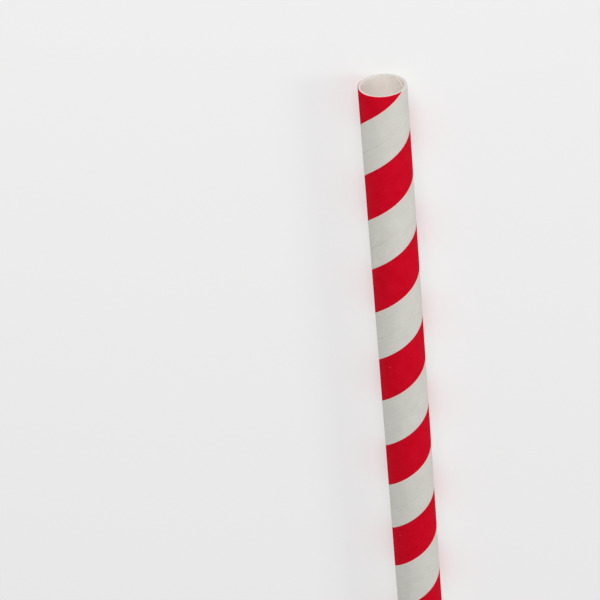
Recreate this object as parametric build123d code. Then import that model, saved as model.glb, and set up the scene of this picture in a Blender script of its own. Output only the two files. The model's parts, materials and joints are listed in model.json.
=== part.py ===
from build123d import *
import os

# Overall sizes of the straw, in millimetres
straw_length = 197.0
outer_diameter = 8.0

# Wall: strips of paper wound one over another and glued into one tube
ply_thickness = 0.15
ply_count = 3

# Winding: the climb of a strip in one turn, and the part of each turn that is printed red
winding_lead = 18.2
stripe_share = 0.476

# Place of the stripe's first edge round the drinking end, as a share of a turn
stripe_place_share = 0.159

# How far a cutting shape runs past the straw's ends, and its depth as a share of a ply
cut_overrun = 1.0
cut_depth_share = 1.5

full_turn = 360
outer_radius = outer_diameter / 2
bore_radius = outer_radius - ply_count * ply_thickness


def straw_ring(inner_radius):
    """A ring of the straw's length and outside, standing about the straw's axis."""
    return Cylinder(outer_radius, straw_length) - Cylinder(inner_radius, straw_length)


def ring_sector(start_share, width_share):
    """A flat sector across the outer ply, which runs past both of its faces."""
    start, span = start_share * full_turn, width_share * full_turn
    outside = CenterArc((0, 0), outer_radius + ply_thickness, start, span)
    inside = CenterArc((0, 0), outer_radius - cut_depth_share * ply_thickness, start, span)
    sides = Line(outside @ 0, inside @ 0) + Line(outside @ 1, inside @ 1)
    return make_face(outside + inside + sides)


def wound_band(place_share, width_share):
    """A right-handed helical band through the outer ply, one turn in each lead.

    place_share is where its first edge lies round the drinking end, which is the upper one here.
    """
    band_length = straw_length + 2 * cut_overrun
    base = (0, 0, -band_length / 2)
    climb = (0, 0, band_length)
    turns = band_length / winding_lead
    turns_to_end = turns - cut_overrun / winding_lead
    section = Pos(*base) * ring_sector(place_share - turns_to_end, width_share)
    return Solid.extrude_linear_with_rotation(section.face(), base, climb, turns * full_turn)


def printed_stripe():
    """The red field: one ply of the outer strip, flush with the outside."""
    outer_ply = straw_ring(outer_radius - ply_thickness)
    return outer_ply & wound_band(stripe_place_share, stripe_share)


def paper_tube(stripe):
    """The white wall round its bore, with a bed one ply deep for the printed field."""
    return straw_ring(bore_radius) - stripe


def laid_on_its_side(shape):
    """Lies along X with the drinking end at +X, resting on the plane z = 0."""
    return Pos(0, 0, outer_radius) * Rot(0, full_turn / 4, 0) * shape


stripe = printed_stripe()
nodes = {"paper_tube": paper_tube(stripe), "printed_stripe": stripe}

os.makedirs("parts", exist_ok=True)
for name, shape in nodes.items():
    export_step(laid_on_its_side(shape), f"parts/{name}.step")
    print(name, "volume", round(shape.volume, 2))
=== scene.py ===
import bmesh
import bpy
import json
import math
from mathutils import Matrix, Vector, noise


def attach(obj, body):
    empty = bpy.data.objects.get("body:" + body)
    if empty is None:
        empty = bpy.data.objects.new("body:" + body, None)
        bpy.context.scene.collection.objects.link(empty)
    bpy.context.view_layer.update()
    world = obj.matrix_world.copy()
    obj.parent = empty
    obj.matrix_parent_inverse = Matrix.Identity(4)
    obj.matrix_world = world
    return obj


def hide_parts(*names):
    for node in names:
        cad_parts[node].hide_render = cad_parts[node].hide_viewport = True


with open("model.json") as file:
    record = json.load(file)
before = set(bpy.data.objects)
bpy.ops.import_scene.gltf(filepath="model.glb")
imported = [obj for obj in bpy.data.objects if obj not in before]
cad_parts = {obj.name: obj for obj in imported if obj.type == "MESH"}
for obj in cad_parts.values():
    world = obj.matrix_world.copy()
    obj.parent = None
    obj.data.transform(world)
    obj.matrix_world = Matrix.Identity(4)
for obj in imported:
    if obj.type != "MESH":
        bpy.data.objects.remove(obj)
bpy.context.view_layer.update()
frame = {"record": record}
bodyName = "root"

# what the frame says of the straw: it lies along X on the floor, its drinking end at +X
millimetre = 0.001
mountDims = {mount["name"]: mount["dims"] for mount in frame["record"]["mounts"]}
outerRadius = mountDims["outside"]["r_mm"] * millimetre
boreRadius = mountDims["bore"]["r_mm"] * millimetre
halfLength = mountDims["outside"]["length_mm"] * millimetre / 2
axisHeight = outerRadius
axisSpot = (0, 0, axisHeight)
alongStraw = (1, 0, 0)
print("frame: straw", round(2 * halfLength, 4), "m long,", round(2 * outerRadius, 4), "m across")

# winding that the print, the seams and the paper's fibres follow
winding = {
    "lead": 0.0182,  # climb in one turn, right handed
    "redShare": 0.476,  # part of the lead that is printed
    "redPlace": 0.135,  # part of a turn, from the top of the mouth round to the print's lower edge
    "turnSteps": 96,
    "spareTurns": 2,  # shared by both ends, and cut off there
}
lead = winding["lead"]
redWidth = winding["redShare"] * lead
turns = math.ceil(2 * halfLength / lead) + winding["spareTurns"]
windingStart = halfLength - (turns - winding["spareTurns"] / 2 + winding["redPlace"]) * lead

# cut ends: edges a little rounded and uneven, as a knife leaves paper, with a fine line between plies
cutEnd = {
    "round": 0.00007,
    "roundSteps": 4,
    "rough": 0.000035,  # most that the edge stands back
    "roughScale": 900,
    "roughReach": 0.0004,  # how far along the wall the unevenness fades out
    "plies": 3,
    "plyGroove": 0.00002,  # depth of the line, and half its width
    "ringSteps": 128,
}

# slow unevenness of a wound wall, always towards the straw's axis
wallWave = {"depth": 0.000022, "scale": 190, "offset": (7.3, 0, 0)}

# all three are below the finest step of a rounded edge
mergeDistance = 0.000003
planeTolerance = 0.0000003
placeDigits = 7
sharpAngle = math.radians(40)


def evenRun(first, last, radius, pieces, curl=0):
    # points along the straw at one radius, or curling inwards towards the last one
    shares = [step / pieces for step in range(pieces + 1)]
    return [(first + (last - first) * share, radius - curl * share ** 2) for share in shares]


def wholeGeometry(mesh):
    return mesh.verts[:] + mesh.edges[:] + mesh.faces[:]


def unevenness(spot):
    # smooth noise from 0 to 1
    return (1 + noise.noise(spot)) / 2


def joinPoints(mesh, points, closed=False):
    pairs = list(zip(points, points[1:]))
    if closed:
        pairs.append((points[-1], points[0]))
    return [mesh.edges.new(pair) for pair in pairs]


def windProfile(mesh, profile, closed=False):
    # an axial line of points, one lead long, wound up the straw like a screw thread, turn after turn
    points = [mesh.verts.new((windingStart + along, 0, axisHeight + radius)) for along, radius in profile]
    edges = joinPoints(mesh, points, closed)
    climb = (lead / winding["turnSteps"], 0, 0)
    bmesh.ops.spin(
        mesh, geom=points + edges, cent=axisSpot, axis=alongStraw, dvec=climb,
        angle=math.tau, steps=winding["turnSteps"])
    oneTurn = wholeGeometry(mesh)
    for number in range(1, turns):
        copied = bmesh.ops.duplicate(mesh, geom=oneTurn)["geom"]
        moved = [item for item in copied if isinstance(item, bmesh.types.BMVert)]
        bmesh.ops.translate(mesh, verts=moved, vec=(number * lead, 0, 0))
    bmesh.ops.remove_doubles(mesh, verts=mesh.verts, dist=mergeDistance)


def sortByPlace(mesh):
    ordered = sorted(mesh.verts, key=lambda point: [round(value, placeDigits) for value in point.co])
    for index, point in enumerate(ordered):
        point.index = index
    mesh.verts.sort()


def cutToLength(mesh):
    # square cuts at both ends, and rings of points for the rounding just inside them
    for side in (-1, 1):
        for step in range(cutEnd["roundSteps"] + 1):
            turn = math.pi / 2 * step / cutEnd["roundSteps"]
            inset = cutEnd["round"] * (1 - math.cos(turn))
            bmesh.ops.bisect_plane(
                mesh, geom=wholeGeometry(mesh), dist=planeTolerance,
                plane_co=(side * (halfLength - inset), 0, 0), plane_no=(side, 0, 0),
                clear_outer=step == 0)
    sortByPlace(mesh)  # a cut lists its new points in no fixed order, and merging goes by order
    bmesh.ops.remove_doubles(mesh, verts=mesh.verts, dist=mergeDistance)


def roughCut(spot):
    # how far the cut edge stands back at this point, signed along the straw
    side = math.copysign(1, spot.x)
    fade = max(0, 1 - (halfLength - abs(spot.x)) / cutEnd["roughReach"])
    flat = Vector((side, spot.y * cutEnd["roughScale"], spot.z * cutEnd["roughScale"]))
    return side * cutEnd["rough"] * fade * unevenness(flat)


def shapeWall(mesh, intoWall):
    # rounds the ends and lets the wall wave a little; the way into the wall from a face is
    # towards the axis (-1) at the outside and away from it (1) in the bore
    for point in mesh.verts:
        outwards = Vector((0, point.co.y, point.co.z - axisHeight)).normalized()
        short = max(0, cutEnd["round"] - max(0, halfLength - abs(point.co.x)))
        rounding = cutEnd["round"] - math.sqrt(cutEnd["round"] ** 2 - short ** 2)
        wave = unevenness(point.co * wallWave["scale"] + Vector(wallWave["offset"]))
        rough = roughCut(point.co)
        point.co += outwards * (intoWall * rounding - wallWave["depth"] * wave)
        point.co.x -= rough


def openEdges(mesh, side, least, most):
    # open edges at one end of the straw between two radii
    found = []
    for edge in mesh.edges:
        middle = (edge.verts[0].co + edge.verts[1].co) / 2
        radius = math.hypot(middle.y, middle.z - axisHeight)
        if edge.is_boundary and middle.x * side > 0 and least < radius < most:
            found.append(edge)
    return found


def storeMesh(mesh, name):
    data = bpy.data.meshes.new(name)
    mesh.to_mesh(data)
    mesh.free()
    return data


def makeObject(name, mesh, material):
    bmesh.ops.recalc_face_normals(mesh, faces=mesh.faces)
    for face in mesh.faces:
        face.smooth = True
    data = storeMesh(mesh, name)
    data.set_sharp_from_angle(angle=sharpAngle)
    data.materials.append(material)
    made = bpy.data.objects.new(name, data)
    bpy.context.scene.collection.objects.link(made)
    triangles = sum(len(face.vertices) - 2 for face in data.polygons)
    print("made", name, "with", triangles, "triangles")
    return made


class Shade:
    # one socket of a material; sums, products, powers and comparisons of sockets add Math nodes
    def __init__(self, tree, socket=None):
        self.tree = tree
        self.socket = socket

    def node(self, kind, settings=None, sockets=None, out=0):
        made = self.tree.nodes.new(kind)
        for name, value in (settings or {}).items():
            setattr(made, name, value)
        for name, value in (sockets or {}).items():
            if isinstance(value, Shade):
                value.into(made.inputs[name])
            else:
                made.inputs[name].default_value = value
        return Shade(self.tree, made.outputs[out])

    def into(self, target):
        self.tree.links.new(self.socket, target)

    def output(self, name):
        # another output of the node that this socket belongs to
        return Shade(self.tree, self.socket.node.outputs[name])

    def math(self, operation, *values):
        return self.node("ShaderNodeMath", {"operation": operation}, dict(enumerate(values)))

    def __add__(self, other):
        return self.math("ADD", self, other)

    __radd__ = __add__

    def __sub__(self, other):
        return self.math("SUBTRACT", self, other)

    def __rsub__(self, other):
        return self.math("SUBTRACT", other, self)

    def __mul__(self, other):
        return self.math("MULTIPLY", self, other)

    __rmul__ = __mul__

    def __pow__(self, other):
        return self.math("POWER", self, other)

    def __rpow__(self, other):
        return self.math("POWER", other, self)

    def __abs__(self):
        return self.math("ABSOLUTE", self)

    def __gt__(self, other):
        return self.math("GREATER_THAN", self, other)

    def __lt__(self, other):
        return self.math("LESS_THAN", self, other)

    def mapRange(self, low, high, toLow=0, toHigh=1):
        values = {"Value": self, "From Min": low, "From Max": high, "To Min": toLow, "To Max": toHigh}
        return self.node("ShaderNodeMapRange", {"clamp": True}, values)

    def blend(self, first, second, kind="MIX"):
        # self is the share of the second colour; 6 and 7 are the Mix node's colours, 2 its result
        settings = {"data_type": "RGBA", "blend_type": kind}
        return self.node("ShaderNodeMix", settings, {0: self, 6: first, 7: second}, out=2)


def startMaterial(name):
    material = bpy.data.materials.new(name)
    material.use_nodes = True
    return material, material.node_tree.nodes["Principled BSDF"]


def surfacePlace(material):
    # where a point of the surface lies in the straw's own frame, in metres
    return Shade(material.node_tree).node("ShaderNodeTexCoord", out="Object")


# fibres of the wound strips run along the winding, so their pattern is drawn out that way
fibreStretch = (0.4, 1, 1)


def alongWinding(place):
    # place turned back by the winding, so that lines along X there wind round the straw
    along = place.node("ShaderNodeSeparateXYZ", sockets={0: place})
    sockets = {"Vector": place, "Center": axisSpot, "Angle": along * (-math.tau / lead)}
    unwound = place.node("ShaderNodeVectorRotate", {"rotation_type": "X_AXIS"}, sockets)
    return place.node("ShaderNodeVectorMath", {"operation": "MULTIPLY"}, {0: unwound, 1: fibreStretch})


def noiseLayer(place, layer):
    sockets = {
        "Vector": place,
        "Scale": layer["scale"],
        "Detail": layer["detail"],
        "Distortion": layer["warp"],
    }
    return place.node("ShaderNodeTexNoise", sockets=sockets)


def mottling(place, finish):
    # patchy variation of a sheet from 0 to 1, and its fibres alone
    wound = alongWinding(place)
    clouds = noiseLayer(place, finish["clouds"])
    streaks = noiseLayer(wound, finish["streaks"])
    fibres = noiseLayer(wound, finish["fibres"])
    total = clouds * finish["clouds"]["share"] + streaks * finish["streaks"]["share"]
    total = total + fibres * finish["fibres"]["share"]
    return total.mapRange(*finish["contrast"]), fibres


def specks(place, finish):
    # small soft dots in a few cells of a Voronoi pattern
    sockets = {"Vector": place, "Scale": finish["scale"]}
    cells = place.node("ShaderNodeTexVoronoi", {"feature": "F1"}, sockets)
    draw = place.node("ShaderNodeSeparateColor", sockets={0: cells.output("Color")})
    return cells.mapRange(finish["size"], 0) * (draw > 1 - finish["share"])


def finishSheet(shader, finish, colour, fibres):
    # colour, roughness and tooth of a sheet, which has no mirror shine of its own
    colour.into(shader.inputs["Base Color"])
    fibres.mapRange(*finish["contrast"], *finish["roughness"]).into(shader.inputs["Roughness"])
    bump = {"Strength": finish["tooth"], "Distance": finish["toothDepth"], "Height": fibres}
    fibres.node("ShaderNodeBump", sockets=bump).into(shader.inputs["Normal"])
    shader.inputs["Specular IOR Level"].default_value = 0


paperFinish = {
    "outside": (0.795, 0.783, 0.726, 1),
    # painted light: the bore's paper is lighter and warmer than the outside, standing in for light that
    # comes through the thin wall and bounces in the bore
    "inside": (0.950, 0.890, 0.836, 1),
    "insideReach": (0.00009, 0.00003),  # painted light fades in between these distances from the bore's wall
    # painted shade: the cut rims are darker than the paper beside them, standing in for the shade among
    # their rough fibres
    "paintedRimShade": (0.690, 0.662, 0.622, 1),
    "paintedRimShadeReach": (0.00009, 0.00004),  # painted shade fades in between these distances from a cut end
    "patches": (0.880, 0.878, 0.872, 1),  # darkens the heavier patches
    "clouds": {"scale": 420, "detail": 5, "warp": 0, "share": 0.35},
    "streaks": {"scale": 2100, "detail": 3, "warp": 0.8, "share": 0.2},
    "fibres": {"scale": 5600, "detail": 3, "warp": 1.4, "share": 0.45},
    "contrast": (0.36, 0.64),
    "specks": {"scale": 620, "size": 0.09, "share": 0.12, "colour": (0.40, 0.34, 0.28, 1)},
    "roughness": (0.74, 0.9),
    "tooth": 0.4,
    "toothDepth": 0.00004,
}


def makePaper():
    material, shader = startMaterial("whitePaper")
    place = surfacePlace(material)
    along = place.node("ShaderNodeSeparateXYZ", sockets={0: place})
    across = along.output("Y")
    height = along.output("Z") - axisHeight
    radius = (across * across + height * height) ** 0.5
    # painted light in the bore, by distance from the bore's wall
    inside = radius.mapRange(*(boreRadius + reach for reach in paperFinish["insideReach"]))
    # painted shade on the cut rims, by distance from the cut ends
    paintedRimShade = abs(along).mapRange(*(halfLength - reach for reach in paperFinish["paintedRimShadeReach"]))
    # the sheet's colour carries the painted light in the bore and the painted shade on the rims
    sheet = paintedRimShade.blend(inside.blend(paperFinish["outside"], paperFinish["inside"]), paperFinish["paintedRimShade"])
    patches, fibres = mottling(place, paperFinish)
    paper = patches.blend(sheet, paperFinish["patches"], "MULTIPLY")
    dots = specks(place, paperFinish["specks"])
    colour = dots.blend(paper, paperFinish["specks"]["colour"])
    finishSheet(shader, paperFinish, colour, fibres)
    return material


inkFinish = {
    "full": (0.640, 0.0018, 0.0138, 1),
    "thin": (0.736, 0.0057, 0.0260, 1),
    "clouds": {"scale": 520, "detail": 5, "warp": 0, "share": 0.35},
    "streaks": {"scale": 2400, "detail": 3, "warp": 0.8, "share": 0.2},
    "fibres": {"scale": 4800, "detail": 3, "warp": 1.4, "share": 0.45},
    "contrast": (0.36, 0.64),
    "pinholes": {"scale": 520, "size": 0.07, "share": 0.06, "colour": (0.78, 0.21, 0.21, 1)},
    "roughness": (0.48, 0.66),
    "tooth": 0.3,
    "toothDepth": 0.00003,
    "gloss": 0.04,
    "glossRoughness": 0.45,
}


def makeInk():
    material, shader = startMaterial("redPrint")
    place = surfacePlace(material)
    patches, fibres = mottling(place, inkFinish)
    ink = patches.blend(inkFinish["full"], inkFinish["thin"])
    dots = specks(place, inkFinish["pinholes"])
    colour = dots.blend(ink, inkFinish["pinholes"]["colour"])
    finishSheet(shader, inkFinish, colour, fibres)
    shader.inputs["Coat Weight"].default_value = inkFinish["gloss"]
    shader.inputs["Coat Roughness"].default_value = inkFinish["glossRoughness"]
    return material


# paper tube: a shallow bed for the print, a fine seam outside and another in the bore
tube = {
    "inkDepth": 0.00003,
    "bedPieces": 9,
    "plainPieces": 5,
    "borePieces": 8,
    "outerSeam": {"share": 0.42, "width": 0.00018, "depth": -0.00006},  # share of the unprinted band
    "boreSeam": {"share": 0.746, "width": 0.00016, "depth": 0.00005},  # share of the lead
    "curl": {"height": 0.00002, "reach": 0.0014, "pieces": 4},  # the strip's edge at the bore seam lifts
}


def seamGroove(place, radius, seam):
    # a groove with a floor a third as wide as its mouth
    half = seam["width"] / 2
    deep = radius + seam["depth"]
    return [
        (place - half, radius),
        (place - half / 3, deep),
        (place + half / 3, deep),
        (place + half, radius),
    ]


def outerProfile():
    bed = evenRun(0, redWidth, outerRadius - tube["inkDepth"], tube["bedPieces"])
    seam = redWidth + tube["outerSeam"]["share"] * (lead - redWidth)
    groove = seamGroove(seam, outerRadius, tube["outerSeam"])
    before = evenRun(redWidth, groove[0][0], outerRadius, tube["plainPieces"])
    after = evenRun(groove[-1][0], lead, outerRadius, tube["plainPieces"])
    return [(0, outerRadius)] + bed + before + groove[1:-1] + after


def boreProfile():
    curl = tube["curl"]
    groove = seamGroove(tube["boreSeam"]["share"] * lead, boreRadius, tube["boreSeam"])
    curlStart = groove[0][0] - curl["reach"]
    before = evenRun(0, curlStart, boreRadius, tube["borePieces"])
    curled = evenRun(curlStart, groove[0][0], boreRadius, curl["pieces"], curl["height"])
    after = evenRun(groove[-1][0], lead, boreRadius, tube["borePieces"])
    return before + curled[1:] + groove[1:-1] + after


def woundWall(profile, intoWall):
    wall = bmesh.new()
    windProfile(wall, profile)
    cutToLength(wall)
    shapeWall(wall, intoWall)
    return storeMesh(wall, "wall")


def cutFace(side):
    # the cut through the plies: rings with a fine groove where two plies meet
    ply = (outerRadius - boreRadius) / cutEnd["plies"]
    groove = cutEnd["plyGroove"]
    outline = []
    for number in range(1, cutEnd["plies"]):
        joint = outerRadius - number * ply
        outline += [(joint + groove, 0), (joint, groove), (joint - groove, 0)]
    rings = bmesh.new()
    points = [
        rings.verts.new((side * (halfLength - sunk), 0, axisHeight + radius))
        for radius, sunk in outline
    ]
    edges = joinPoints(rings, points)
    bmesh.ops.spin(
        rings, geom=points + edges, cent=axisSpot, axis=alongStraw,
        angle=math.tau, steps=cutEnd["ringSteps"], use_merge=True)
    for point in rings.verts:
        point.co.x -= roughCut(point.co)
    return storeMesh(rings, "paintedRimShade")


def closeEnd(mesh, side):
    # joins the cut face to the wall outside it and to the bore inside it
    middle = (outerRadius + boreRadius) / 2
    for least, most in ((middle, math.inf), (0, middle)):
        edges = openEdges(mesh, side, least, most)
        bmesh.ops.triangle_fill(mesh, use_beauty=True, edges=edges, normal=(side, 0, 0))


def makeTube():
    mesh = bmesh.new()
    for data in (woundWall(outerProfile(), -1), woundWall(boreProfile(), 1), cutFace(-1), cutFace(1)):
        mesh.from_mesh(data)
        bpy.data.meshes.remove(data)
    for side in (-1, 1):
        closeEnd(mesh, side)
    made = makeObject("paperTube", mesh, makePaper())
    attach(made, bodyName)
    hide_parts("paper_tube")


def makeStripe():
    # the film of ink that fills the bed, flush with the paper beside it
    face = evenRun(0, redWidth, outerRadius, tube["bedPieces"])
    back = evenRun(redWidth, 0, outerRadius - tube["inkDepth"], tube["bedPieces"])
    mesh = bmesh.new()
    windProfile(mesh, face + back, closed=True)
    cutToLength(mesh)
    shapeWall(mesh, -1)
    bmesh.ops.holes_fill(mesh, edges=[edge for edge in mesh.edges if edge.is_boundary], sides=0)
    made = makeObject("redStripe", mesh, makeInk())
    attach(made, bodyName)
    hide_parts("printed_stripe")


makeTube()
makeStripe()

stage = {
    "floorSize": 6,
    "floorColour": (0.52, 0.52, 0.52, 1),
    "floorRoughness": 0.9,
    "floorGlow": 0.43,
    "glowColour": (1, 1, 1, 1),
    "skyColour": (1, 1, 1, 1),
    "skyStrength": 0.35,
}


def makeFloor():
    mesh = bmesh.new()
    bmesh.ops.create_grid(mesh, x_segments=1, y_segments=1, size=stage["floorSize"] / 2)
    material, shader = startMaterial("paleFloor")
    shader.inputs["Base Color"].default_value = stage["floorColour"]
    shader.inputs["Roughness"].default_value = stage["floorRoughness"]
    shader.inputs["Specular IOR Level"].default_value = 0
    shader.inputs["Emission Color"].default_value = stage["glowColour"]
    shader.inputs["Emission Strength"].default_value = stage["floorGlow"]
    makeObject("floor", mesh, material)


def makeSky():
    world = bpy.data.worlds.new("softRoom")
    world.use_nodes = True
    background = world.node_tree.nodes["Background"]
    background.inputs["Color"].default_value = stage["skyColour"]
    background.inputs["Strength"].default_value = stage["skyStrength"]
    bpy.context.scene.world = world


lamps = {
    "key": {"spot": (0.72, 0.03, 0.47), "size": 0.45, "watts": 4.25},
    "side": {"spot": (0.1, -1.0, 0.6), "size": 0.25, "watts": 2.4},
}


def makeLamps():
    aim = Vector((halfLength / 2, 0, axisHeight))
    for name, lamp in lamps.items():
        data = bpy.data.lights.new(name, "AREA")
        data.size = lamp["size"]
        data.energy = lamp["watts"]
        made = bpy.data.objects.new(name, data)
        made.location = lamp["spot"]
        made.rotation_euler = (aim - Vector(lamp["spot"])).to_track_quat("-Z", "Y").to_euler()
        made.visible_camera = False
        bpy.context.scene.collection.objects.link(made)


# the photograph's view: down on the straw from beyond its mouth, which is at the top of the picture
camera = {
    "lens": 156,
    "sensor": 36,
    "nearest": 0.01,
    "spot": (0.2964, 0, 0.37205),
    "forward": (-0.54196, 0.03755, -0.83956),
    "up": (0.83646, -0.07257, -0.5432),
}


def makeCamera():
    data = bpy.data.cameras.new("photoView")
    data.lens = camera["lens"]
    data.sensor_width = camera["sensor"]
    data.clip_start = camera["nearest"]
    back = -Vector(camera["forward"]).normalized()
    right = Vector(camera["up"]).cross(back).normalized()
    turn = Matrix((right, back.cross(right), back)).transposed()
    made = bpy.data.objects.new("photoView", data)
    made.matrix_world = Matrix.Translation(camera["spot"]) @ turn.to_4x4()
    bpy.context.scene.collection.objects.link(made)
    bpy.context.scene.camera = made


makeFloor()
makeSky()
makeLamps()
makeCamera()
bpy.context.scene.view_settings.view_transform = "Standard"
print("stage, light and camera ready")
